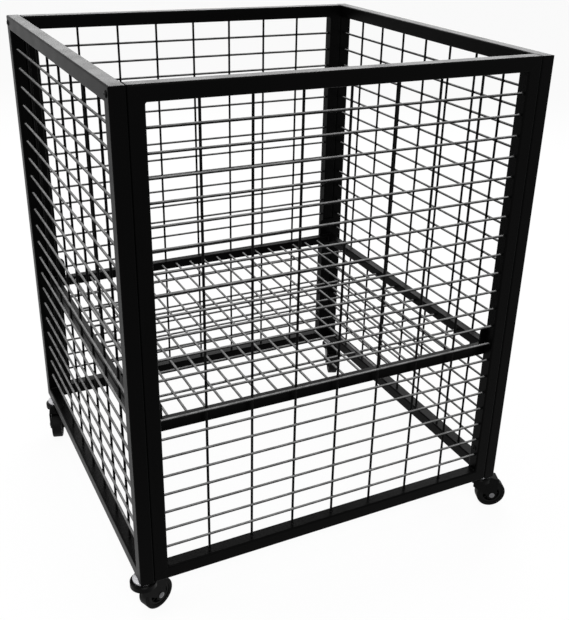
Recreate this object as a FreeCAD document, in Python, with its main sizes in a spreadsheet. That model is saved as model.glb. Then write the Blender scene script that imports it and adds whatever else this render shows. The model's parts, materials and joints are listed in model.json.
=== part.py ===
import FreeCAD, Part

import os
import re

import Sketcher
from FreeCAD import Placement, Rotation, Vector

# A wire-mesh dump bin on four swivel castors. Four welded panels of square tube and wire mesh are
# bolted into an open-topped box, with a mesh shelf across the inside. Millimetres; X runs to the right
# along the front, Y to the back and Z up. The origin is on the floor, under the middle of the frame.

SIZES = (
    ("frame_width", 600, "outside width of the box"),
    ("frame_depth", 560, "outside depth of the box"),
    ("frame_height", 675, "height of the panels"),
    ("tube", 20, "side of the panels' square tube"),
    ("wall", 1.5, "wall of that tube"),
    ("edge_radius", 2.4, "rounding along the tubes' outer edges"),
    ("wire", 3.5, "diameter of every mesh wire"),
    ("weld_sink", 0.2, "how far crossing wires are pressed into each other"),
    ("columns", 8, "mesh openings across a panel"),
    ("rows", 22, "mesh openings up a panel"),
    ("shelf_level", 226, "underside of the shelf above the foot of the frame"),
    ("shelf_tube", 15, "side of the shelf's square tube"),
    ("shelf_wall", 1.2, "wall of that tube"),
    ("shelf_edge_radius", 1.8, "rounding along its outer edges"),
    ("shelf_columns", 20, "mesh openings across the shelf"),
    ("shelf_rows", 8, "mesh openings from the shelf's front to its back"),
    ("lug_width", 28, "width of the shelf's corner lugs"),
    ("lug_height", 32, "height of the lugs above the shelf's tubes"),
    ("lug_thickness", 3, "thickness of the lugs"),
    ("lug_corner", 9, "rounding of the lugs' free corner"),
    ("bolt_radius", 2.5, "radius of the frame bolts' shanks"),
    ("bolt_hole_gap", 0.3, "gap around a shank in its hole"),
    ("bolt_reach", 8, "how far a shank runs on past the face that it pulls up to"),
    ("bolt_head_radius", 4.2, "radius of the frame bolts' heads"),
    ("bolt_head_height", 1.6, "height of those heads"),
    ("bolt_dome", 1.4, "width of the sloped rim of those heads"),
    ("socket_radius", 1.7, "corner radius of the hexagon socket in those heads"),
    ("socket_depth", 1.1, "depth of that socket"),
    ("nut_radius", 4.62, "corner radius of the frame nuts"),
    ("nut_height", 4, "height of the frame nuts"),
    ("thread_gap", 0.05, "gap between a shank and the bore of its nut"),
    ("low_bolt_level", 60, "height of the lower panel bolts above the foot of the frame"),
    ("lug_bolt_rise", 16, "height of the lug bolts above the shelf's tubes"),
    ("castor_height", 67, "floor to the foot of the frame"),
    ("swivel_inset", 22, "swivel centre from the end of a side panel"),
    ("front_left_turn", 22, "degrees that the front left castor trails away from X"),
    ("front_right_turn", -21, "degrees for the front right castor"),
    ("back_left_turn", -107, "degrees for the back left castor"),
    ("back_right_turn", -112, "degrees for the back right castor"),
    ("trail", 20.5, "axle behind the swivel centre"),
    ("wheel_radius", 24, "radius of a wheel over its tyre"),
    ("tread_width", 17, "width of a tyre"),
    ("tyre_depth", 6, "thickness of a tyre"),
    ("tyre_rounding", 1.8, "rounding of a tyre's shoulders"),
    ("rim_width", 15, "width of a wheel's rim"),
    ("rim_depth", 4, "thickness of that rim"),
    ("web_width", 6, "width of the web between rim and hub"),
    ("hub_radius", 7, "radius of a wheel's hub"),
    ("hub_width", 20, "width of that hub"),
    ("side_gap", 0.3, "gap at each end of the hub, and under and over the crown"),
    ("running_gap", 0.08, "gap around an axle or pin that turns"),
    ("fork_sheet", 2, "thickness of a fork's pressed sheet"),
    ("fork_rounding", 3, "rounding where a fork's top turns down into its cheeks"),
    ("crown_drop", 8, "top of a fork below the frame"),
    ("crown_reach", 13, "flat of a fork's crown to each side of the swivel centre"),
    ("head_radius", 19, "radius of the round head pressed into a fork's crown"),
    ("head_chamfer", 1.5, "slope around the top of that head"),
    ("head_rim_drop", 16.5, "lower rim of that head below the frame"),
    ("hood_reach", 30, "lip of a fork's hood from the swivel centre"),
    ("hood_drop", 14.5, "that lip below the frame"),
    ("cheek_radius", 8, "radius of a fork's cheeks around the axle"),
    ("cheek_drop", 24, "foot of a cheek's straight front edge below the frame"),
    ("collar_radius", 9.5, "radius of a castor's collar against the frame"),
    ("collar_height", 2.5, "height of that collar"),
    ("flange_radius", 15, "radius of the fixed flange below the collar"),
    ("flange_slope", 1.5, "fall of the flange from the collar to its rim"),
    ("kingpin_radius", 6, "radius of the pin that carries a fork"),
    ("rivet_radius", 8.5, "radius of the kingpin's riveted end"),
    ("rivet_height", 2.7, "height of that end"),
    ("stem_radius", 5, "radius of a castor's threaded stem"),
    ("stem_length", 14, "length of that stem above the foot of the frame"),
    ("stem_nut_radius", 9.2, "corner radius of the nut inside the frame for that stem"),
    ("stem_nut_height", 8, "height of that nut"),
    ("axle_radius", 3, "radius of an axle bolt"),
    ("axle_head_radius", 4.6, "radius of its head"),
    ("axle_head_height", 1.8, "height of its head"),
    ("axle_dome", 2.4, "width of the sloped rim of its head"),
    ("axle_nut_radius", 5.2, "corner radius of its nut"),
    ("axle_nut_height", 3, "height of its nut"),
    ("axle_end", 0.8, "axle bolt beyond its nut"),
)

doc = FreeCAD.newDocument("dump_bin")
sheet = doc.addObject("Spreadsheet::Sheet", "dims")
for row, (alias, value, meaning) in enumerate(SIZES, start=1):
    sheet.set(f"A{row}", alias)
    sheet.set(f"B{row}", str(value))
    sheet.setAlias(f"B{row}", alias)
    sheet.set(f"C{row}", meaning)
doc.recompute()

NAMES = {alias for alias, value, meaning in SIZES}
TERMS = {
    "half_tube": "(tube / 2)",
    "side_reach": "(frame_width / 2 - tube / 2)",
    "front_reach": "(frame_depth / 2 - tube / 2)",
    "front_panel": "(frame_width - 2 * tube)",
    "side_panel": "frame_depth",
    "shelf_width": "(frame_width - 2 * tube)",
    "shelf_depth": "(frame_depth - 2 * tube)",
    "shelf_top": "(castor_height + shelf_level + shelf_tube)",
    "bolt_hole": "(bolt_radius + bolt_hole_gap)",
    "wire_offset": "(wire / 2 - weld_sink / 2)",
    "top_bolt_level": "(frame_height - tube / 2)",
    "lug_bolt_level": "(shelf_level + shelf_tube + lug_bolt_rise)",
    "axle_drop": "(castor_height - wheel_radius)",
    "cheek_inside": "(hub_width / 2 + side_gap)",
    "cheek_outside": "(hub_width / 2 + side_gap + fork_sheet)",
}

leaves = {}


# Formulas


def bound(formula):
    """The formula with every named size and term pointed at the cells of the sheet."""

    def resolve(word):
        name = word.group()
        if name in TERMS:
            return bound(TERMS[name])
        return f"dims.{name}" if name in NAMES else name

    return re.sub(r"[a-z][a-z_]*", resolve, formula)


def number(formula):
    """What a formula comes to with the sheet's present sizes."""
    return float(sheet.evalExpression(bound(formula)))


def bind(item, target, formula):
    item.setExpression(target, bound(formula))


def put(item, position=("0", "0", "0"), rotation=Rotation(), turn=None):
    """Places an object at three formulas, turned as given, or by a formula in degrees about Z."""
    item.Placement = Placement(Vector(*map(number, position)), rotation)
    for axis, formula in zip("xyz", position):
        bind(item, f".Placement.Base.{axis}", formula)
    if turn is not None:
        item.Placement.Rotation = Rotation(Vector(0, 0, 1), number(turn))
        bind(item, ".Placement.Rotation.Angle", turn)


def keep(item, node):
    """Records an object as the sub-part that gives the node its shape."""
    item.Label = node
    leaves[node] = item
    return item


# Sketches and features


def new_body(name):
    body = doc.addObject("PartDesign::Body", name)
    body.AllowCompound = True
    return body


def new_sketch(body, role, name, offset=None):
    """An empty sketch on one of the body's own planes, or set off from it by a formula."""
    plane = next(item for item in body.Origin.OriginFeatures if item.Role == role)
    sketch = body.newObject("Sketcher::SketchObject", name)
    sketch.AttachmentSupport = (plane, "")
    sketch.MapMode = "FlatFace"
    if offset is not None:
        bind(sketch, "AttachmentOffset.Base.z", offset)
    return sketch


def fix_point(sketch, geometry, point, across, up):
    """Ties one point of a sketch to formulas measured from the sketch's origin."""
    for kind, formula in (("DistanceX", across), ("DistanceY", up)):
        constraint = Sketcher.Constraint(kind, -1, 1, geometry, point, number(formula))
        index = sketch.addConstraint(constraint)
        bind(sketch, f"Constraints[{index}]", formula)


def add_polygon(sketch, corners):
    """A closed outline whose corners are pairs of formulas."""
    places = [Vector(number(across), number(up), 0) for across, up in corners]
    first = sketch.GeometryCount
    count = len(corners)
    for index in range(count):
        line = Part.LineSegment(places[index], places[(index + 1) % count])
        sketch.addGeometry(line, False)
    for index in range(count):
        following = first + (index + 1) % count
        sketch.addConstraint(Sketcher.Constraint("Coincident", first + index, 2, following, 1))
    for index, (across, up) in enumerate(corners):
        fix_point(sketch, first + index, 1, across, up)


def add_circle(sketch, across, up, radius):
    centre = Vector(number(across), number(up), 0)
    circle = Part.Circle(centre, Vector(0, 0, 1), number(radius))
    index = sketch.addGeometry(circle, False)
    fix_point(sketch, index, 3, across, up)
    radius_index = sketch.addConstraint(Sketcher.Constraint("Radius", index, number(radius)))
    bind(sketch, f"Constraints[{radius_index}]", radius)


def add_hexagon(sketch, radius):
    """A regular hexagon about the sketch's origin, from its corner radius."""
    corners = [(f"{radius} * cos({60 * step})", f"{radius} * sin({60 * step})") for step in range(6)]
    add_polygon(sketch, corners)


def extrude(body, kind, sketch, name, length=None, both_ways=False, back=False):
    """A Pad or Pocket of the sketch, through everything if no length is given."""
    feature = body.newObject(f"PartDesign::{kind}", name)
    feature.Profile = sketch
    if length is None:
        feature.Type = "ThroughAll"
    else:
        bind(feature, "Length", length)
    feature.Midplane = both_ways
    feature.Reversed = back
    doc.recompute()
    return feature


def revolve(body, sketch, name):
    """A full turn of the sketch about the sketch's own vertical axis."""
    feature = body.newObject("PartDesign::Revolution", name)
    feature.Profile = sketch
    feature.ReferenceAxis = (sketch, ["V_Axis"])
    feature.Angle = 360
    doc.recompute()
    return feature


def round_edges(body, feature, radius, wanted, name):
    """A fillet on the feature's edges whose middle point is wanted."""
    edges = [
        f"Edge{index}"
        for index, edge in enumerate(feature.Shape.Edges, start=1)
        if wanted(edge.CenterOfMass, edge)
    ]
    fillet = body.newObject("PartDesign::Fillet", name)
    fillet.Base = (feature, edges)
    bind(fillet, "Radius", radius)
    doc.recompute()
    return fillet


def group(node, members):
    """One node of several like pieces."""
    compound = doc.addObject("Part::Compound", node)
    compound.Links = members
    return keep(compound, node)


# Square tubes


def make_tube(node, length, side, thickness, rounding, holes=()):
    """A tube along its own X, mitred at both ends so that its -Z face is the long one.

    A hole is (way, place along the tube, radius): "across" goes right through along Y, "upright" right
    through along Z, "inside" through the +Y wall alone, and "outside" through the -Z wall alone.
    """
    body = new_body(node)
    section = new_sketch(body, "YZ_Plane", f"{node}_section")
    for half in (f"{side} / 2", f"({side} / 2 - {thickness})"):
        add_polygon(section, [(f"-{half}", f"-{half}"), (half, f"-{half}"), (half, half), (f"-{half}", half)])
    pad = extrude(body, "Pad", section, f"{node}_run", length=length, both_ways=True)
    reach = number(side) / 2

    def is_outer_corner(middle, edge):
        return abs(abs(middle.y) - reach) < 1e-6 and abs(abs(middle.z) - reach) < 1e-6

    round_edges(body, pad, rounding, is_outer_corner, f"{node}_rounding")
    mitres = new_sketch(body, "XZ_Plane", f"{node}_mitre_lines")
    for end in ("", "-"):
        foot = f"{end}({length} / 2)"
        head = f"{end}({length} / 2 - {side})"
        corners = [(foot, f"-{side} / 2"), (foot, f"{side} / 2"), (head, f"{side} / 2")]
        add_polygon(mitres, corners)
    extrude(body, "Pocket", mitres, f"{node}_mitres", both_ways=True)
    for number_of_hole, (way, along, radius) in enumerate(holes, start=1):
        name = f"{node}_hole_{number_of_hole}"
        plane = "XY_Plane" if way in ("outside", "upright") else "XZ_Plane"
        circle = new_sketch(body, plane, f"{name}_circle")
        add_circle(circle, along, "0", radius)
        goes_through = way in ("across", "upright")
        extrude(body, "Pocket", circle, name, length=None if goes_through else side, both_ways=goes_through)
    return keep(body, node)


# Wire meshes


def make_mesh(node, first_plane, first, first_length, second, second_length, start=None):
    """Two layers of round wires that cross at right angles and are welded where they cross.

    Each layer is a list of wire centres in its plane. The first layer may start at a height of its own,
    and otherwise both layers run equally to each side.
    """
    body = new_body(node)
    layers = ((first_plane, first, first_length, start), ("YZ_Plane", second, second_length, None))
    for place, (plane, centres, length, offset) in enumerate(layers, start=1):
        sketch = new_sketch(body, plane, f"{node}_ends_{place}", offset)
        for across, up in centres:
            add_circle(sketch, across, up, "wire / 2")
        wires = extrude(
            body, "Pad", sketch, f"{node}_wires_{place}", length=length, both_ways=offset is None
        )
        wires.Refine = False
    return keep(body, node)


def spread(count, span):
    """Formulas for the places of the wires that part a span into equal openings."""
    openings = int(number(count))
    return [f"({step} / {count} - 0.5) * {span}" for step in range(1, openings)]


def turned(quarters, across, outward):
    """Formulas for a point of a panel, after the panel's quarter turns about Z.

    The point is measured across the panel, and outward from the middle of the box.
    """
    ahead, side = ((1, 0), (0, 1), (-1, 0), (0, -1))[quarters]
    return f"{ahead} * ({across}) + {side} * ({outward})", f"{side} * ({across}) - {ahead} * ({outward})"


PANELS = (
    ("front", 0, "front_panel", "front_reach", "left", "right"),
    ("right", 1, "side_panel", "side_reach", "front", "back"),
    ("back", 2, "front_panel", "front_reach", "right", "left"),
    ("left", 3, "side_panel", "side_reach", "back", "front"),
)

# The upper bolts pass right through a side panel into the front or back panel's stile. The lower ones
# pass right through that stile into the side panel. The shelf's bolts go in the stiles' inside faces.
low_bolt_offset = "(frame_height / 2 - low_bolt_level)"
top_bolt_offset = "(frame_height / 2 - half_tube)"
lug_bolt_offset = "(frame_height / 2 - lug_bolt_level)"


def make_panel(side, quarters, width, reach, start_side, end_side):
    is_side_panel = side in ("left", "right")
    turn = Rotation(Vector(0, 0, 1), 90 * quarters)
    corner = f"({width} / 2 - half_tube)"
    top_holes = []
    foot_holes = []
    if is_side_panel:
        top_holes = [("across", f"{sign}{corner}", "bolt_hole") for sign in ("", "-")]
        stem = f"({width} / 2 - swivel_inset)"
        foot_holes = [("outside", f"{sign}{stem}", "stem_radius + bolt_hole_gap") for sign in ("", "-")]
    rails = (
        ("top", top_holes, "castor_height + frame_height - half_tube", Rotation(Vector(1, 0, 0), 180)),
        ("bottom", foot_holes, "castor_height + half_tube", Rotation()),
    )
    for name, holes, level, roll in rails:
        rail = make_tube(f"{side}_{name}_rail", width, "tube", "wall", "edge_radius", holes)
        put(rail, (*turned(quarters, "0", reach), level), turn * roll)
    stiles = ((start_side, "-", 90, "-"), (end_side, "", -90, ""))
    for name, across_sign, tilt, up_sign in stiles:
        top_way, low_way = ("across", "inside") if is_side_panel else ("outside", "upright")
        upward = f"{up_sign}1"
        holes = [
            (top_way, f"{upward} * {top_bolt_offset}", "bolt_hole"),
            (low_way, f"-({upward}) * {low_bolt_offset}", "bolt_hole"),
        ]
        if not is_side_panel:
            holes.append(("inside", f"-({upward}) * {lug_bolt_offset}", "bolt_hole"))
        stile = make_tube(f"{side}_{name}_stile", "frame_height", "tube", "wall", "edge_radius", holes)
        across, along = turned(quarters, f"{across_sign}{corner}", reach)
        tip = Rotation(Vector(0, 1, 0), tilt)
        put(stile, (across, along, "castor_height + frame_height / 2"), turn * tip)
    opening = f"({width} - 2 * tube)"
    rise = "(frame_height - 2 * tube)"
    uprights = [(across, "wire_offset") for across in spread("columns", opening)]
    crosswires = [("-wire_offset", f"{up} + frame_height / 2") for up in spread("rows", rise)]
    mesh = make_mesh(f"{side}_mesh", "XY_Plane", uprights, rise, crosswires, opening, start="tube")
    put(mesh, (*turned(quarters, "0", reach), "castor_height"), turn)


# Shelf


def make_shelf():
    sides = (
        ("front", 0, "shelf_width", "(shelf_depth / 2 - shelf_tube / 2)"),
        ("right", 1, "shelf_depth", "(shelf_width / 2 - shelf_tube / 2)"),
        ("back", 2, "shelf_width", "(shelf_depth / 2 - shelf_tube / 2)"),
        ("left", 3, "shelf_depth", "(shelf_width / 2 - shelf_tube / 2)"),
    )
    middle = "castor_height + shelf_level + shelf_tube / 2"
    lay_flat = Rotation(Vector(1, 0, 0), -90)
    for side, quarters, length, reach in sides:
        rail = make_tube(f"shelf_{side}_rail", length, "shelf_tube", "shelf_wall", "shelf_edge_radius")
        turn = Rotation(Vector(0, 0, 1), 90 * quarters)
        put(rail, (*turned(quarters, "0", reach), middle), turn * lay_flat)
    width = "(shelf_width - 2 * shelf_tube)"
    depth = "(shelf_depth - 2 * shelf_tube)"
    lengthways = [(across, "wire_offset") for across in spread("shelf_columns", width)]
    crossways = [(along, "-wire_offset") for along in spread("shelf_rows", depth)]
    mesh = make_mesh("shelf_mesh", "XZ_Plane", lengthways, depth, crossways, width)
    put(mesh, ("0", "0", middle))


CORNERS = (("front_left", -1, -1), ("front_right", 1, -1), ("back_left", -1, 1), ("back_right", 1, 1))


def make_lugs():
    """Upright plates on the shelf's corners, each against the inside face of a stile."""
    lugs = []
    for corner, side_sign, depth_sign in CORNERS:
        body = new_body(f"{corner}_lug")
        outline = new_sketch(body, "XZ_Plane", f"{corner}_lug_outline")
        outer = f"{side_sign} * shelf_width / 2"
        inner = f"{side_sign} * (shelf_width / 2 - lug_width)"
        add_polygon(outline, [(outer, "0"), (inner, "0"), (inner, "lug_height"), (outer, "lug_height")])
        plate = extrude(body, "Pad", outline, f"{corner}_lug_plate", length="lug_thickness", both_ways=True)
        inside = number(inner)

        def is_free_corner(middle, edge):
            return abs(middle.x - inside) < 1e-6 and middle.z > number("lug_height") - 1e-6 and (
                abs(middle.y) < 1e-6
            )

        round_edges(body, plate, "lug_corner", is_free_corner, f"{corner}_lug_rounding")
        hole = new_sketch(body, "XZ_Plane", f"{corner}_lug_hole_circle")
        add_circle(hole, f"{side_sign} * (shelf_width / 2 - half_tube)", "lug_bolt_rise", "bolt_hole")
        extrude(body, "Pocket", hole, f"{corner}_lug_hole", both_ways=True)
        put(body, ("0", f"{depth_sign} * (shelf_depth / 2 - lug_thickness / 2)", "shelf_top"))
        lugs.append(body)
    group("shelf_lugs", lugs)


# Bolts and nuts


def make_bolt(name, shank_length, radius, head_radius, head_height, dome, socket=False):
    """A bolt along its own Z, its head below the origin and its shank above."""
    body = new_body(name)
    profile = new_sketch(body, "XZ_Plane", f"{name}_profile")
    corners = [
        ("0", f"-{head_height}"),
        (f"{head_radius} - {dome}", f"-{head_height}"),
        (head_radius, f"-{head_height} * 0.35"),
        (head_radius, "0"),
        (radius, "0"),
        (radius, shank_length),
        ("0", shank_length),
    ]
    add_polygon(profile, corners)
    revolve(body, profile, f"{name}_turning")
    if socket:
        hexagon = new_sketch(body, "XY_Plane", f"{name}_socket_outline", f"-{head_height}")
        add_hexagon(hexagon, "socket_radius")
        extrude(body, "Pocket", hexagon, f"{name}_socket", length="socket_depth", back=True)
    return body


def make_nut(name, corner_radius, height, bore):
    """A hexagon nut along its own Z, from the origin up."""
    body = new_body(name)
    outline = new_sketch(body, "XY_Plane", f"{name}_outline")
    add_hexagon(outline, corner_radius)
    add_circle(outline, "0", "0", bore)
    extrude(body, "Pad", outline, f"{name}_block", length=height)
    return body


def frame_bolt(name, grip):
    reach = f"({grip} + bolt_reach)"
    head = ("bolt_head_radius", "bolt_head_height", "bolt_dome")
    return make_bolt(name, reach, "bolt_radius", *head, socket=True)


def frame_nut(name):
    return make_nut(name, "nut_radius", "nut_height", "bolt_radius + thread_gap")


def make_fixings():
    """The bolts that join the panels and hold the shelf, with the nuts inside the stiles."""
    panel_bolts, panel_nuts, shelf_bolts, shelf_nuts = [], [], [], []
    levels = (
        ("top", "top_bolt_level", "frame_width / 2", "(frame_width / 2 - tube - wall)", -90),
        ("low", "low_bolt_level", "(frame_width / 2 - 2 * tube)", "(frame_width / 2 - tube + wall)", 90),
    )
    for corner, side_sign, depth_sign in CORNERS:
        along = f"{depth_sign} * front_reach"
        for level_name, level, head_place, nut_place, tilt in levels:
            height = f"castor_height + {level}"
            way = Rotation(Vector(0, 1, 0), tilt * side_sign)
            bolt = frame_bolt(f"{corner}_{level_name}_bolt", "tube")
            put(bolt, (f"{side_sign} * {head_place}", along, height), way)
            panel_bolts.append(bolt)
            nut = frame_nut(f"{corner}_{level_name}_nut")
            put(nut, (f"{side_sign} * {nut_place}", along, height), way)
            panel_nuts.append(nut)
        across = f"{side_sign} * (shelf_width / 2 - half_tube)"
        height = "castor_height + lug_bolt_level"
        outward = Rotation(Vector(1, 0, 0), -90 * depth_sign)
        bolt = frame_bolt(f"{corner}_lug_bolt", "lug_thickness")
        put(bolt, (across, f"{depth_sign} * (shelf_depth / 2 - lug_thickness)", height), outward)
        shelf_bolts.append(bolt)
        nut = frame_nut(f"{corner}_lug_nut")
        put(nut, (across, f"{depth_sign} * (shelf_depth / 2 + wall)", height), outward)
        shelf_nuts.append(nut)
    group("panel_bolts", panel_bolts)
    group("panel_nuts", panel_nuts)
    group("shelf_bolts", shelf_bolts)
    group("shelf_nuts", shelf_nuts)


# Castors. Each piece is drawn about the swivel centre at the foot of the frame, trailing along +X.


def swivel_place(side_sign, depth_sign):
    return f"{side_sign} * side_reach", f"{depth_sign} * (frame_depth / 2 - swivel_inset)"


def castor_put(piece, corner, side_sign, depth_sign, along="0", drop="0"):
    """Places a piece of a castor, from a point behind the swivel centre and below the frame."""
    turn = f"{corner}_turn"
    across, back = swivel_place(side_sign, depth_sign)
    position = (
        f"{across} + ({along}) * cos({turn})",
        f"{back} + ({along}) * sin({turn})",
        f"castor_height - ({drop})",
    )
    put(piece, position, turn=turn)


def make_stem(node):
    """The fixed part of a castor: stem, collar, flange and kingpin in one turned piece."""
    body = new_body(node)
    profile = new_sketch(body, "XZ_Plane", f"{node}_profile")
    rivet_top = "(crown_drop + fork_sheet + side_gap)"
    corners = [
        ("0", "stem_length"),
        ("stem_radius", "stem_length"),
        ("stem_radius", "0"),
        ("collar_radius", "0"),
        ("collar_radius", "-collar_height"),
        ("flange_radius", "-(collar_height + flange_slope)"),
        ("flange_radius", "-(crown_drop - side_gap)"),
        ("kingpin_radius", "-(crown_drop - side_gap)"),
        ("kingpin_radius", f"-{rivet_top}"),
        ("rivet_radius", f"-{rivet_top}"),
        ("rivet_radius", f"-({rivet_top} + rivet_height)"),
        ("0", f"-({rivet_top} + rivet_height)"),
    ]
    add_polygon(profile, corners)
    revolve(body, profile, f"{node}_turning")
    return keep(body, node)


def make_fork(node):
    """A pressed fork: a round head over two cheeks, and a hood that slopes down over the wheel."""
    body = new_body(node)
    outline = new_sketch(body, "XZ_Plane", f"{node}_outline")
    corners = [
        ("-crown_reach", "-crown_drop"),
        ("crown_reach", "-crown_drop"),
        ("hood_reach", "-hood_drop"),
        ("trail + cheek_radius", "-axle_drop"),
        ("trail - cheek_radius", "-axle_drop"),
        ("-crown_reach", "-cheek_drop"),
    ]
    add_polygon(outline, corners)
    block = extrude(body, "Pad", outline, f"{node}_block", length="2 * cheek_outside", both_ways=True)
    outside = number("cheek_outside")
    lip = -number("hood_drop")

    def is_shoulder(middle, edge):
        return abs(abs(middle.y) - outside) < 1e-6 and middle.z > lip

    round_edges(body, block, "fork_rounding", is_shoulder, f"{node}_shoulders")
    lobe = new_sketch(body, "XZ_Plane", f"{node}_lobe_circle")
    add_circle(lobe, "trail", "-axle_drop", "cheek_radius")
    extrude(body, "Pad", lobe, f"{node}_lobes", length="2 * cheek_outside", both_ways=True)
    hollow = new_sketch(body, "XZ_Plane", f"{node}_hollow_outline")
    slope = "((hood_drop - crown_drop) / (hood_reach - crown_reach))"
    crown_foot = "(crown_drop + fork_sheet)"
    drop_here = f"(crown_drop + fork_sheet * sqrt(1 + {slope} * {slope}))"
    bend = f"(crown_reach - ({drop_here} - {crown_foot}) / {slope})"
    beyond = "(2 * wheel_radius + trail)"
    corners = [
        (f"-{beyond}", f"-{crown_foot}"),
        (bend, f"-{crown_foot}"),
        (beyond, f"-({drop_here} + ({beyond} - crown_reach) * {slope})"),
        (beyond, "-2 * castor_height"),
        (f"-{beyond}", "-2 * castor_height"),
    ]
    add_polygon(hollow, corners)
    extrude(body, "Pocket", hollow, f"{node}_hollow", length="2 * cheek_inside", both_ways=True)
    head = new_sketch(body, "XZ_Plane", f"{node}_head_profile")
    bore = "(kingpin_radius + running_gap)"
    corners = [
        (bore, "-crown_drop"),
        ("head_radius - head_chamfer", "-crown_drop"),
        ("head_radius", "-(crown_drop + head_chamfer)"),
        ("head_radius", "-head_rim_drop"),
        ("head_radius - fork_sheet", "-head_rim_drop"),
        ("head_radius - fork_sheet", f"-{crown_foot}"),
        (bore, f"-{crown_foot}"),
    ]
    add_polygon(head, corners)
    revolve(body, head, f"{node}_head")
    circle = new_sketch(body, "XY_Plane", f"{node}_bore_circle")
    add_circle(circle, "0", "0", bore)
    extrude(body, "Pocket", circle, f"{node}_bore", length="crown_drop + 2 * fork_sheet")
    circle = new_sketch(body, "XZ_Plane", f"{node}_axle_circle")
    add_circle(circle, "trail", "-axle_drop", "axle_radius + thread_gap")
    extrude(body, "Pocket", circle, f"{node}_axle_holes", both_ways=True)
    return keep(body, node)


def make_wheel(prefix):
    """The wheel's moulded core and its tyre, each turned about its own Z and laid along the axle."""
    core = new_body(f"{prefix}_wheel_core")
    profile = new_sketch(core, "XZ_Plane", f"{prefix}_core_profile")
    tyre_inside = "(wheel_radius - tyre_depth)"
    rim_inside = f"({tyre_inside} - rim_depth)"
    bore = "(axle_radius + running_gap)"
    half = [
        (bore, "hub_width / 2"),
        ("hub_radius", "hub_width / 2"),
        ("hub_radius", "web_width / 2"),
        (rim_inside, "web_width / 2"),
        (rim_inside, "rim_width / 2"),
        (tyre_inside, "rim_width / 2"),
    ]
    add_polygon(profile, half + [(out, f"-{across}") for out, across in reversed(half)])
    revolve(core, profile, f"{prefix}_core_turning")
    tyre = new_body(f"{prefix}_tyre")
    profile = new_sketch(tyre, "XZ_Plane", f"{prefix}_tyre_profile")
    corners = [
        (tyre_inside, "-tread_width / 2"),
        ("wheel_radius", "-tread_width / 2"),
        ("wheel_radius", "tread_width / 2"),
        (tyre_inside, "tread_width / 2"),
    ]
    add_polygon(profile, corners)
    ring = revolve(tyre, profile, f"{prefix}_tyre_turning")
    reach = number("wheel_radius")

    def is_shoulder(middle, edge):
        return edge.Curve.TypeId == "Part::GeomCircle" and abs(edge.Curve.Radius - reach) < 1e-6

    round_edges(tyre, ring, "tyre_rounding", is_shoulder, f"{prefix}_tyre_shoulders")
    return keep(core, f"{prefix}_wheel_core"), keep(tyre, f"{prefix}_tyre")


def make_axle(node):
    """The axle bolt with its nut, from the outside of one cheek to beyond the other."""
    shank = "(2 * cheek_outside + axle_nut_height + axle_end)"
    head = ("axle_head_radius", "axle_head_height", "axle_dome")
    bolt = make_bolt(f"{node}_bolt", shank, "axle_radius", *head)
    bolt.Placement = Placement(Vector(0, -number("cheek_outside"), 0), Rotation(Vector(1, 0, 0), -90))
    bind(bolt, ".Placement.Base.y", "-cheek_outside")
    nut = make_nut(f"{node}_nut", "axle_nut_radius", "axle_nut_height", "axle_radius + thread_gap")
    nut.Placement = Placement(Vector(0, number("cheek_outside"), 0), Rotation(Vector(1, 0, 0), -90))
    bind(nut, ".Placement.Base.y", "cheek_outside")
    return group(node, [bolt, nut])


def put_across(piece, corner, side_sign, depth_sign, along, drop, tilt):
    """Places a turned piece of a castor, tipped about the castor's Y and then turned with it."""
    turn = f"{corner}_turn"
    heading = Rotation(Vector(0, 0, 1), number(turn))
    across, back = swivel_place(side_sign, depth_sign)
    position = (
        f"{across} + ({along}) * cos({turn})",
        f"{back} + ({along}) * sin({turn})",
        f"castor_height - ({drop})",
    )
    put(piece, position, heading * tilt)


def make_castor(corner, side_sign, depth_sign):
    prefix = f"{corner}_castor"
    here = (corner, side_sign, depth_sign)
    castor_put(make_stem(f"{prefix}_stem"), *here)
    castor_put(make_fork(f"{prefix}_fork"), *here)
    castor_put(make_axle(f"{prefix}_axle"), *here, along="trail", drop="axle_drop")
    on_its_side = Rotation(Vector(1, 0, 0), -90)
    for piece in make_wheel(prefix):
        put_across(piece, *here, "trail", "axle_drop", on_its_side)


def make_stem_nuts():
    nuts = []
    for corner, side_sign, depth_sign in CORNERS:
        nut = make_nut(f"{corner}_stem_nut", "stem_nut_radius", "stem_nut_height", "stem_radius + thread_gap")
        flats_to_walls = Rotation(Vector(0, 0, 1), 30)
        put(nut, (*swivel_place(side_sign, depth_sign), "castor_height + wall"), flats_to_walls)
        nuts.append(nut)
    group("castor_nuts", nuts)


for panel in PANELS:
    make_panel(*panel)
make_shelf()
make_lugs()
make_fixings()
for castor in CORNERS:
    make_castor(*castor)
make_stem_nuts()
doc.recompute()

faults = [item.Name for item in doc.Objects if "Invalid" in item.State or "Error" in item.State]
if faults:
    raise RuntimeError(f"features in error: {faults}")
for node, leaf in leaves.items():
    if leaf.Shape.isNull() or not leaf.Shape.isValid() or leaf.Shape.Volume <= 0:
        raise RuntimeError(f"bad shape: {node}")

os.makedirs("parts", exist_ok=True)
for node, leaf in leaves.items():
    leaf.Shape.exportStep(f"parts/{node}.step")
    print(node, len(leaf.Shape.Solids), round(leaf.Shape.Volume, 1))
print(len(leaves), "sub-parts")
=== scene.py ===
"""Dresses a wire-mesh dump bin on castors: finishes, welds, moulded wheels and the studio."""

import json
import math

import bmesh
import bpy
from mathutils import Matrix, Vector


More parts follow.
